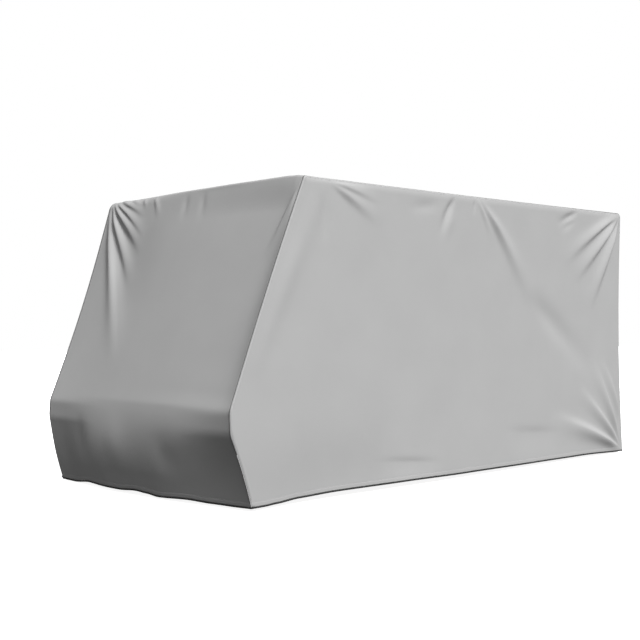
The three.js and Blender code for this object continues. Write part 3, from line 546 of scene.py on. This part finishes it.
def side_panel(name, side, folds, largest, finer, material):
    """largest is the biggest cell, and finer lists further places from the rear that need small cells."""
    outline = SIDE_OUTLINES[side]
    up_rear = np.linspace(0, outline["starts"][2], REAR_LINE_POINTS)
    down_front = np.linspace(outline["starts"][3], outline["length"], FRONT_LINE_POINTS)
    rear_line, front_line = outline_at(outline, up_rear), outline_at(outline, down_front)
    fine_rows = [(HEM_STITCHES, HEM_ROW), (COVER_HEIGHT, TOP_ROW)]
    heights = graded(COVER_HEIGHT - TOP_ROUNDING, fine_rows, ROW_GROWTH, largest * ROW_SHARE)
    heights = np.concatenate([heights, COVER_HEIGHT - TOP_STEPS[-2::-1]])
    rear = np.interp(level_at(outline, -HALF_ROOF, heights), rear_line[1], rear_line[0])
    front = np.interp(-level_at(outline, HALF_ROOF, heights), -front_line[1], front_line[0])
    span = front[0] - rear[0]
    fine_columns = [(0, REAR_COLUMN), (span, FRONT_COLUMN), *finer]
    inner = graded(span - 2 * EDGE_ROUNDING, fine_columns, SIDE_GROWTH, largest)
    base = np.concatenate([EDGE_STEPS[:-1], inner + EDGE_ROUNDING, span - EDGE_STEPS[-2::-1]])
    share = (base - EDGE_ROUNDING) / (span - 2 * EDGE_ROUNDING)
    place_on = side_surface(side, folds)

    def x_at(column, row):
        width = front[row] - rear[row] - 2 * EDGE_ROUNDING
        inner_x = rear[row] + EDGE_ROUNDING + share[column] * width
        rear_x, front_x = rear[row] + base[column], front[row] - (span - base[column])
        near_rear = base[column] <= EDGE_ROUNDING
        near_front = span - base[column] <= EDGE_ROUNDING
        return np.where(near_rear, rear_x, np.where(near_front, front_x, inner_x))

    def place(column, row):
        return place_on(x_at(column, row), heights[row])

    def flat(column, row):
        return x_at(column, row), heights[row]

    return cloth_grid(name, len(base), len(heights), place, flat, material, (0, side, 0))


def wrap_surface(lift):
    """The place of points of a panel that follows the outline, by distance along it and across it."""

    def place(distance, y):
        x, z, out_x, out_z = across_cover(distance, y)
        rise = lift(distance, y)
        return x + out_x * rise, y, z + out_z * rise

    return place


def held_at(y, from_seam):
    """How much a panel's folds are held back near the welts and its end seam."""
    return smooth((WRAP_HALF_WIDTH - np.abs(y)) / FOLD_CLEARANCE) * smooth(from_seam / FOLD_CLEARANCE)


def edge_draw(down, y):
    """How far the front sinks in from its left edge: quickly beside it, then back over most of its width."""
    from_edge = WRAP_HALF_WIDTH - y
    spread = np.tanh(from_edge / DRAW_REACH) * (1 - smooth(from_edge / DRAW_SPREAD))
    return rise_at(NEAR_EDGE_DRAW, down) * spread


def front_lift(distance, y):
    down = distance - (ROOF_END + GAP / 2)
    folds = fold_height(FRONT_FOLDS, y, down) * held_at(y, down)
    return folds - edge_draw(down, y) + hem_relief(front_hem_distance(y) - distance)


def rear_lift(distance, y):
    down = (ROOF_START - GAP / 2) - distance
    return fold_height(REAR_FOLDS, y, down) * held_at(y, down) + hem_relief(distance - rear_hem_distance(y))


def roof_lift(distance, y):
    start, end = ROOF_START + GAP / 2, ROOF_END - GAP / 2
    length_share = 2 * (distance - start) / (end - start) - 1
    width_share = y / WRAP_HALF_WIDTH
    crown_height = ROOF_CROWN + ROOF_EDGE_BOW + REAR_FALL / 2
    crown = crown_height * (1 - length_share**2) ** 2 * (1 - width_share**2) ** 2
    from_seam = np.minimum(distance - start, end - distance)
    return crown + fold_height(ROOF_FOLDS, y, end - distance) * held_at(y, from_seam)


def front_hem_distance(y):
    """Where the front's hem lies along the middle's outline, by the level that it rises to."""
    tuck = MIDDLE_OUTLINE["stretches"][-1]
    fall = (tuck["start"].y - tuck["end"].y) / tuck["length"]
    return MIDDLE_OUTLINE["length"] - rise_at(FRONT_HEM_RISE, y) / fall


def rear_hem_distance(y):
    return rise_at(REAR_HEM_RISE, y)


def wrap_panel(name, ends, lift, largest, fine_across, fine_along, material, outward):
    """ends gives the distances along the outline at which the panel starts and ends, at each y."""
    across = graded(2 * WRAP_HALF_WIDTH, fine_across, WRAP_GROWTH, largest) - WRAP_HALF_WIDTH
    first, last = ends(across)
    length = float(np.mean(last - first))
    along = graded(length, fine_along, WRAP_GROWTH, largest) / length
    place_on = wrap_surface(lift)

    def distance_at(column, row):
        return first[column] + (last[column] - first[column]) * along[row]

    def place(column, row):
        return place_on(distance_at(column, row), across[column])

    def flat(column, row):
        return across[column], distance_at(column, row)

    return cloth_grid(name, len(across), len(along), place, flat, material, outward)


def front_ends(y):
    return np.full(y.shape, ROOF_END + GAP / 2), front_hem_distance(y)


def rear_ends(y):
    return rear_hem_distance(y), np.full(y.shape, ROOF_START - GAP / 2)


def roof_ends(y):
    return np.full(y.shape, ROOF_START + GAP / 2), np.full(y.shape, ROOF_END - GAP / 2)


def swept(name, points, section, closed, material):
    """A bead along a route: section gives, for each of its corners, a point beside each route point."""
    corners = len(section)
    count = len(points)
    spans = count if closed else count - 1
    bm = bmesh.new()
    bmesh.ops.create_grid(bm, x_segments=spans, y_segments=corners, size=0.5)
    for vert in bm.verts:
        along = round((vert.co.x + 0.5) * spans) % count
        around = round((vert.co.y + 0.5) * corners) % corners
        vert.co = section[around][along]
    bmesh.ops.remove_doubles(bm, verts=bm.verts, dist=MERGE_DISTANCE)
    if not closed:
        bmesh.ops.holes_fill(bm, edges=[edge for edge in bm.edges if edge.is_boundary], sides=corners)
    bmesh.ops.recalc_face_normals(bm, faces=bm.faces)
    return make_object(name, bm, material)


def evenly(place_on, first, second, step):
    """The two coordinates of points that lie evenly spaced on a surface, along a route over it."""
    route = np.stack(place_on(first, second), axis=-1)
    walked = np.concatenate([[0], np.cumsum(np.linalg.norm(np.diff(route, axis=0), axis=1))])
    even = np.linspace(0, walked[-1], round(walked[-1] / step) + 1)
    return np.interp(even, walked, first), np.interp(even, walked, second)


def stitch_row(name, place_on, first, second, outward, material):
    """A row of stitches over a surface: a thread that rises from the cloth and dives into it again."""
    first, second = evenly(place_on, first, second, STITCH / STITCH_POINTS)
    here = np.stack(place_on(first, second), axis=-1)
    beside = np.stack(place_on(first + NUDGE, second), axis=-1) - here
    above = np.stack(place_on(first, second + NUDGE), axis=-1) - here
    normal = np.cross(beside, above)
    normal /= np.linalg.norm(normal, axis=1)[:, None] * np.sign(normal @ np.array(outward))[:, None]
    across = np.cross(normal, np.gradient(here, axis=0))
    across /= np.linalg.norm(across, axis=1)[:, None]
    dive = (np.arange(len(here)) % STITCH_POINTS == 0)[:, None]
    half = THREAD * np.where(dive, DIVE_WIDTH, 1)
    centre = here + normal * THREAD * np.where(dive, DIVE_LIFT, THREAD_LIFT)
    section = []
    for corner in range(THREAD_CORNERS):
        angle = 2 * math.pi * corner / THREAD_CORNERS
        section.append(centre + half * (across * math.cos(angle) + normal * math.sin(angle)))
    return swept(name, here, section, False, material)


def side_stitches(name, side, folds, material):
    """A side panel's two rows: one inside the welt all along the outline, and one along the hem."""
    outline = SIDE_OUTLINES[side]
    place_on = side_surface(side, folds)
    distance = np.linspace(HEM_DEPTH, outline["length"] - HEM_DEPTH, SIDE_SEAM_POINTS)
    x, z, out_x, out_z = outline_at(outline, distance)
    x, z = x - out_x * SEAM_STITCHES, z - out_z * SEAM_STITCHES
    heights = np.linspace(0, COVER_HEIGHT, HEIGHT_POINTS)
    height = np.array([
        np.interp(level, level_at(outline, place, heights), heights) for place, level in zip(x, z)])
    beside_welt = stitch_row(f"{name}_seam_stitches", place_on, x, height, (0, side, 0), material)
    end = outline["stretches"][-1]["end"].x
    x = np.linspace(-HALF_ROOF + SEAM_STITCHES, end - SEAM_STITCHES, STITCH_ROUTE_POINTS)
    along_hem = stitch_row(
        f"{name}_hem_stitches", place_on, x, np.full(x.shape, HEM_STITCHES), (0, side, 0), material)
    return [beside_welt, along_hem]


def wrap_stitches(name, ends, lift, hem, outward, material):
    """A wrapped panel's rows: inside its two welts and its seams, and along the hem where it has one."""
    place_on = wrap_surface(lift)
    inner = WRAP_HALF_WIDTH - SEAM_STITCHES
    y = np.linspace(-inner, inner, STITCH_ROUTE_POINTS)
    first, last = ends(y)
    insets = [HEM_STITCHES if hem == end else SEAM_STITCHES for end in ("first", "last")]
    rows = [("start", first + insets[0], y), ("end", last - insets[1], y)]
    for edge, place in (("right", 0), ("left", -1)):
        from_seam, to_seam = first[place] + SEAM_STITCHES, last[place] - SEAM_STITCHES
        distance = np.linspace(from_seam, to_seam, STITCH_ROUTE_POINTS)
        rows.append((edge, distance, np.full(distance.shape, y[place])))
    return [
        stitch_row(f"{name}_{row}_stitches", place_on, distance, across, outward, material)
        for row, distance, across in rows]


def seam_welt(name, side, material):
    """A bead along a side's whole outline, between the side panel and the cloth that follows its edge."""
    outline = SIDE_OUTLINES[side]
    parts = []
    for start, stretch in zip(outline["starts"], outline["stretches"]):
        points = WELT_ROUND_POINTS if stretch["centre"] else WELT_STRAIGHT_POINTS
        parts.append(np.linspace(start, start + stretch["length"], points, endpoint=False))
    distance = np.append(np.concatenate(parts), outline["length"] - WELT_END)
    distance[0] = WELT_END
    x, z, out_x, out_z = outline_at(outline, distance)
    proud = rise_at(WELT_RISE, distance)
    section = []
    for corner in range(WELT_CORNERS):
        angle = 2 * math.pi * corner / WELT_CORNERS
        aside = WELT_WIDTH / 2 * math.cos(angle)
        rise = (proud - SHEET) / 2 + (proud + SHEET) / 2 * math.sin(angle)
        y = np.full(x.shape, side * WELT_Y + aside)
        section.append(np.stack([x + out_x * rise, y, z + out_z * rise], axis=-1))
    return swept(name, x, section, False, material)


def hem_route():
    """The cloth's bottom edge all round, from the left rear corner over the front, and the way out of it."""
    sides = []
    for side, folds in ((1, LEFT_FOLDS), (-1, RIGHT_FOLDS)):
        span = HALF_ROOF + SIDE_OUTLINES[side]["stretches"][-1]["end"].x
        inner = np.linspace(EDGE_ROUNDING, span - EDGE_ROUNDING, round(span / BINDING_STEP))
        places = np.concatenate([EDGE_STEPS[:-1], inner, span - EDGE_STEPS[-2::-1]])
        x, y, z = side_surface(side, folds)(places - HALF_ROOF, np.zeros(places.shape))
        sides.append(np.stack([x, y, z], axis=-1))
    across = np.linspace(WRAP_HALF_WIDTH, -WRAP_HALF_WIDTH, round(COVER_WIDTH / BINDING_STEP))
    front = np.stack(wrap_surface(front_lift)(front_hem_distance(across), across), axis=-1)
    rear = np.stack(wrap_surface(rear_lift)(rear_hem_distance(across), across), axis=-1)
    route = np.concatenate([sides[0], front, sides[1][::-1], rear[::-1]])
    direction = np.roll(route, -1, axis=0) - np.roll(route, 1, axis=0)
    out = np.stack([direction[:, 1], -direction[:, 0], np.zeros(len(route))], axis=-1)
    out /= np.linalg.norm(out, axis=1)[:, None]
    outward = np.sign(np.sum(out * route, axis=1))
    return route, out * outward[:, None]


def hem_binding(name, material):
    """A tape just below the cloth's edge, with its four edges bevelled. Its near-black grey, given where it
    is made, is painted shade below the hem.
    """
    route, out = hem_route()
    down = np.array([0, 0, -1])
    top = route - out * SHEET / 2 + down * GAP
    half, inner = BINDING_WIDTH / 2, BINDING_WIDTH / 2 - BINDING_BEVEL
    high, low = BINDING_BEVEL, BINDING_HEIGHT - BINDING_BEVEL
    corners = [
        (inner, 0), (half, high), (half, low), (inner, BINDING_HEIGHT),
        (-inner, BINDING_HEIGHT), (-half, low), (-half, high), (-inner, 0),
    ]
    section = [top + out * aside + down * drop for aside, drop in corners]
    return swept(name, top, section, True, material)


# Materials

def new_material(name):
    """A material and its surface shader."""
    material = bpy.data.materials.new(name)
    material.use_nodes = True
    nodes = material.node_tree.nodes
    nodes.clear()
    output = nodes.new("ShaderNodeOutputMaterial")
    shader = nodes.new("ShaderNodeBsdfPrincipled")
    material.node_tree.links.new(shader.outputs[0], output.inputs[0])
    return material, shader


def add(material, kind, inputs=None, **settings):
    """A new node: inputs gives a value or another node's output for each socket."""
    node = material.node_tree.nodes.new(kind)
    for name, value in settings.items():
        setattr(node, name, value)
    for socket, value in (inputs or {}).items():
        if isinstance(value, bpy.types.NodeSocket):
            material.node_tree.links.new(value, node.inputs[socket])
        else:
            node.inputs[socket].default_value = value
    return node


def panel_cloth():
    """The grey cloth: a faint mottle in its colour, and a fine weave along its own length and width."""
    material, shader = new_material("panel_cloth")
    cloth = add(material, "ShaderNodeUVMap", uv_map="cloth")
    place = add(material, "ShaderNodeTexCoord")
    mottle = add(
        material, "ShaderNodeTexNoise", {"Vector": place.outputs["Object"], "Scale": 3.0, "Detail": 4.0})
    grey = add(material, "ShaderNodeMapRange", {
        "Value": mottle.outputs[0], "From Min": 0.3, "From Max": 0.7, "To Min": 0.98, "To Max": 1.02})
    tint = add(
        material, "ShaderNodeMix", {"Factor": 1.0, "A": (0.30, 0.30, 0.30, 1), "B": grey.outputs[0]},
        data_type="RGBA", blend_type="MULTIPLY")
    material.node_tree.links.new(tint.outputs["Result"], shader.inputs["Base Color"])
    threads = {"Vector": cloth.outputs[0], "Scale": WEAVE_SCALE}
    warp = add(material, "ShaderNodeTexWave", threads, bands_direction="X")
    weft = add(material, "ShaderNodeTexWave", threads, bands_direction="Y")
    weave = add(material, "ShaderNodeMath", {0: warp.outputs[1], 1: weft.outputs[1]}, operation="ADD")
    bump = add(material, "ShaderNodeBump", {"Height": weave.outputs[0], "Strength": 0.15, "Distance": 0.0002})
    material.node_tree.links.new(bump.outputs[0], shader.inputs["Normal"])
    shader.inputs["Roughness"].default_value = 0.72
    shader.inputs["Specular IOR Level"].default_value = 0.25
    shader.inputs["Sheen Weight"].default_value = 0.05
    return material


def plain_cloth(name, grey, roughness):
    """A dark trim of one grey, with a fine grain: the thread's grey is its own, and the near-black of the
    welts and the binding is painted shade.
    """
    material, shader = new_material(name)
    place = add(material, "ShaderNodeTexCoord")
    grain = add(material, "ShaderNodeTexNoise", {"Vector": place.outputs["Object"], "Scale": 900.0})
    bump = add(material, "ShaderNodeBump", {"Height": grain.outputs[0], "Strength": 0.3, "Distance": 0.0003})
    material.node_tree.links.new(bump.outputs[0], shader.inputs["Normal"])
    shader.inputs["Base Color"].default_value = (grey, grey, grey, 1)
    shader.inputs["Roughness"].default_value = roughness
    return material


# Light, floor and camera

# The camera's place is measured from the roof's front edge, the cover's middle and the level HEM
CAMERA_PLACE = Vector((HALF_ROOF + 4.4718, 5.6635, HEM + 1.0195))
CAMERA_YAW = math.radians(-134.467)
CAMERA_PITCH = math.radians(0.186)
CAMERA_ROLL = math.radians(-0.483)
FOCAL_PIXELS = 1122.9
FRAME_PIXELS = 640
SENSOR = 36
KEY_DIRECTION = (0.15, 0.72, 0.68)
KEY_STRENGTH = 5.5
KEY_SOFTNESS = 20
AMBIENT_LOW = -0.14
AMBIENT_HIGH = 0.94


def photo_camera():
    data = bpy.data.cameras.new("photo_camera")
    data.sensor_width = SENSOR
    data.lens = FOCAL_PIXELS * SENSOR / FRAME_PIXELS
    camera = bpy.data.objects.new("photo_camera", data)
    turn = Matrix.Rotation(CAMERA_YAW - math.pi / 2, 4, "Z")
    tip = Matrix.Rotation(math.pi / 2 + CAMERA_PITCH, 4, "X")
    roll = Matrix.Rotation(CAMERA_ROLL, 4, "Z")
    camera.matrix_world = Matrix.Translation(CAMERA_PLACE) @ turn @ tip @ roll
    bpy.context.collection.objects.link(camera)
    bpy.context.scene.camera = camera


def sunlight(name, direction, strength, softness):
    """A broad soft light from one side, alike over the whole length."""
    data = bpy.data.lights.new(name, "SUN")
    data.energy = strength
    data.angle = math.radians(softness)
    light = bpy.data.objects.new(name, data)
    light.rotation_euler = (-Vector(direction)).to_track_quat("-Z", "Y").to_euler()
    bpy.context.collection.objects.link(light)


def studio():
    """The key light, and a soft light all round that is stronger from above, before a white backdrop."""
    sunlight("key", KEY_DIRECTION, KEY_STRENGTH, KEY_SOFTNESS)
    world = bpy.data.worlds.new("studio")
    world.use_nodes = True
    nodes, links = world.node_tree.nodes, world.node_tree.links
    nodes.clear()
    output = nodes.new("ShaderNodeOutputWorld")
    seen, ambient, mix = (nodes.new(kind) for kind in (
        "ShaderNodeBackground", "ShaderNodeBackground", "ShaderNodeMixShader"))
    path = nodes.new("ShaderNodeLightPath")
    seen.inputs["Color"].default_value = (1, 1, 1, 1)
    place = nodes.new("ShaderNodeTexCoord")
    split = nodes.new("ShaderNodeSeparateXYZ")
    ramp = nodes.new("ShaderNodeMapRange")
    links.new(place.outputs["Generated"], split.inputs[0])
    links.new(split.outputs["Z"], ramp.inputs["Value"])
    ramp.inputs["From Min"].default_value = -1
    ramp.inputs["From Max"].default_value = 1
    ramp.inputs["To Min"].default_value = AMBIENT_LOW
    ramp.inputs["To Max"].default_value = AMBIENT_HIGH
    links.new(ramp.outputs[0], ambient.inputs["Strength"])
    links.new(path.outputs["Is Camera Ray"], mix.inputs[0])
    links.new(ambient.outputs[0], mix.inputs[1])
    links.new(seen.outputs[0], mix.inputs[2])
    links.new(mix.outputs[0], output.inputs[0])
    bpy.context.scene.world = world
    bpy.context.scene.view_settings.view_transform = "Standard"


def pale_floor():
    bm = bmesh.new()
    bmesh.ops.create_circle(bm, cap_ends=True, segments=FLOOR_CORNERS, radius=FLOOR_RADIUS)
    bmesh.ops.translate(bm, verts=bm.verts, vec=(0, 0, HEM - BINDING_HEIGHT - FLOOR_GAP))
    mesh = bpy.data.meshes.new("floor")
    bm.to_mesh(mesh)
    bm.free()
    floor = bpy.data.objects.new("floor", mesh)
    material, shader = new_material("floor")
    shader.inputs["Base Color"].default_value = (0.9, 0.9, 0.9, 1)
    shader.inputs["Roughness"].default_value = 0.9
    shader.inputs["Emission Color"].default_value = (1, 1, 1, 1)
    shader.inputs["Emission Strength"].default_value = 0.9
    mesh.materials.append(material)
    bpy.context.collection.objects.link(floor)
    floor.visible_diffuse = False
    floor.visible_glossy = False


photo_camera()
studio()
pale_floor()

cloth = panel_cloth()
thread = plain_cloth("thread", grey=0.22, roughness=0.6)
# The welts' near-black grey is painted shade: the dark line that shade lays along the seams between the roof
# and the sides.
welt_cloth = plain_cloth("welt_cloth", grey=0.06, roughness=0.8)
width = 2 * WRAP_HALF_WIDTH

# Where small cells are needed: on the left side at the pulls below the roof's middle, measured from the rear,
# on the front at its hem's stitches, down the cloth, and on the rear at its top. Each comes with its cell.
roof_pulls = 1.98
front_hem_stitches = 1.97
rear_length = 1.88

left = side_panel(
    "left_side", 1, LEFT_FOLDS, largest=0.0245, finer=[(roof_pulls, 0.007)], material=cloth)
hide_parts("side_panel_left")
right = side_panel("right_side", -1, RIGHT_FOLDS, largest=0.028, finer=[], material=cloth)
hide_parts("side_panel_right")
front = wrap_panel(
    "front", front_ends, front_lift, largest=0.018, fine_across=[(0, 0.003), (width, 0.004)],
    fine_along=[(0, 0.003), (front_hem_stitches, 0.003)], material=cloth, outward=(1, 0, 0))
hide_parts("front_panel")
rear = wrap_panel(
    "rear", rear_ends, rear_lift, largest=0.024, fine_across=[(0, 0.005), (width, 0.005)],
    fine_along=[(HEM_STITCHES, 0.0025), (rear_length, 0.005)], material=cloth, outward=(-1, 0, 0))
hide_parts("rear_panel")
roof = wrap_panel(
    "roof", roof_ends, roof_lift, largest=0.030, fine_across=[(0, 0.006), (width, 0.006)],
    fine_along=[(0, 0.006), (ROOF_LENGTH, 0.006)], material=cloth, outward=(0, 0, 1))
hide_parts("roof_panel")

for name, side in (("left", 1), ("right", -1)):
    seam_welt(f"{name}_welt", side, welt_cloth)
    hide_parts(f"seam_welt_{name}")
# The binding tape's near-black grey is painted shade under the hem's edge.
binding = hem_binding("binding", plain_cloth("binding_tape", grey=0.012, roughness=0.85))
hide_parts("hem_binding")

left_stitches = side_stitches("left", 1, LEFT_FOLDS, thread)
right_stitches = side_stitches("right", -1, RIGHT_FOLDS, thread)
front_stitches = wrap_stitches("front", front_ends, front_lift, "last", (1, 0, 0), thread)
rear_stitches = wrap_stitches("rear", rear_ends, rear_lift, "first", (-1, 0, 0), thread)
roof_stitches = wrap_stitches("roof", roof_ends, roof_lift, None, (0, 0, 1), thread)
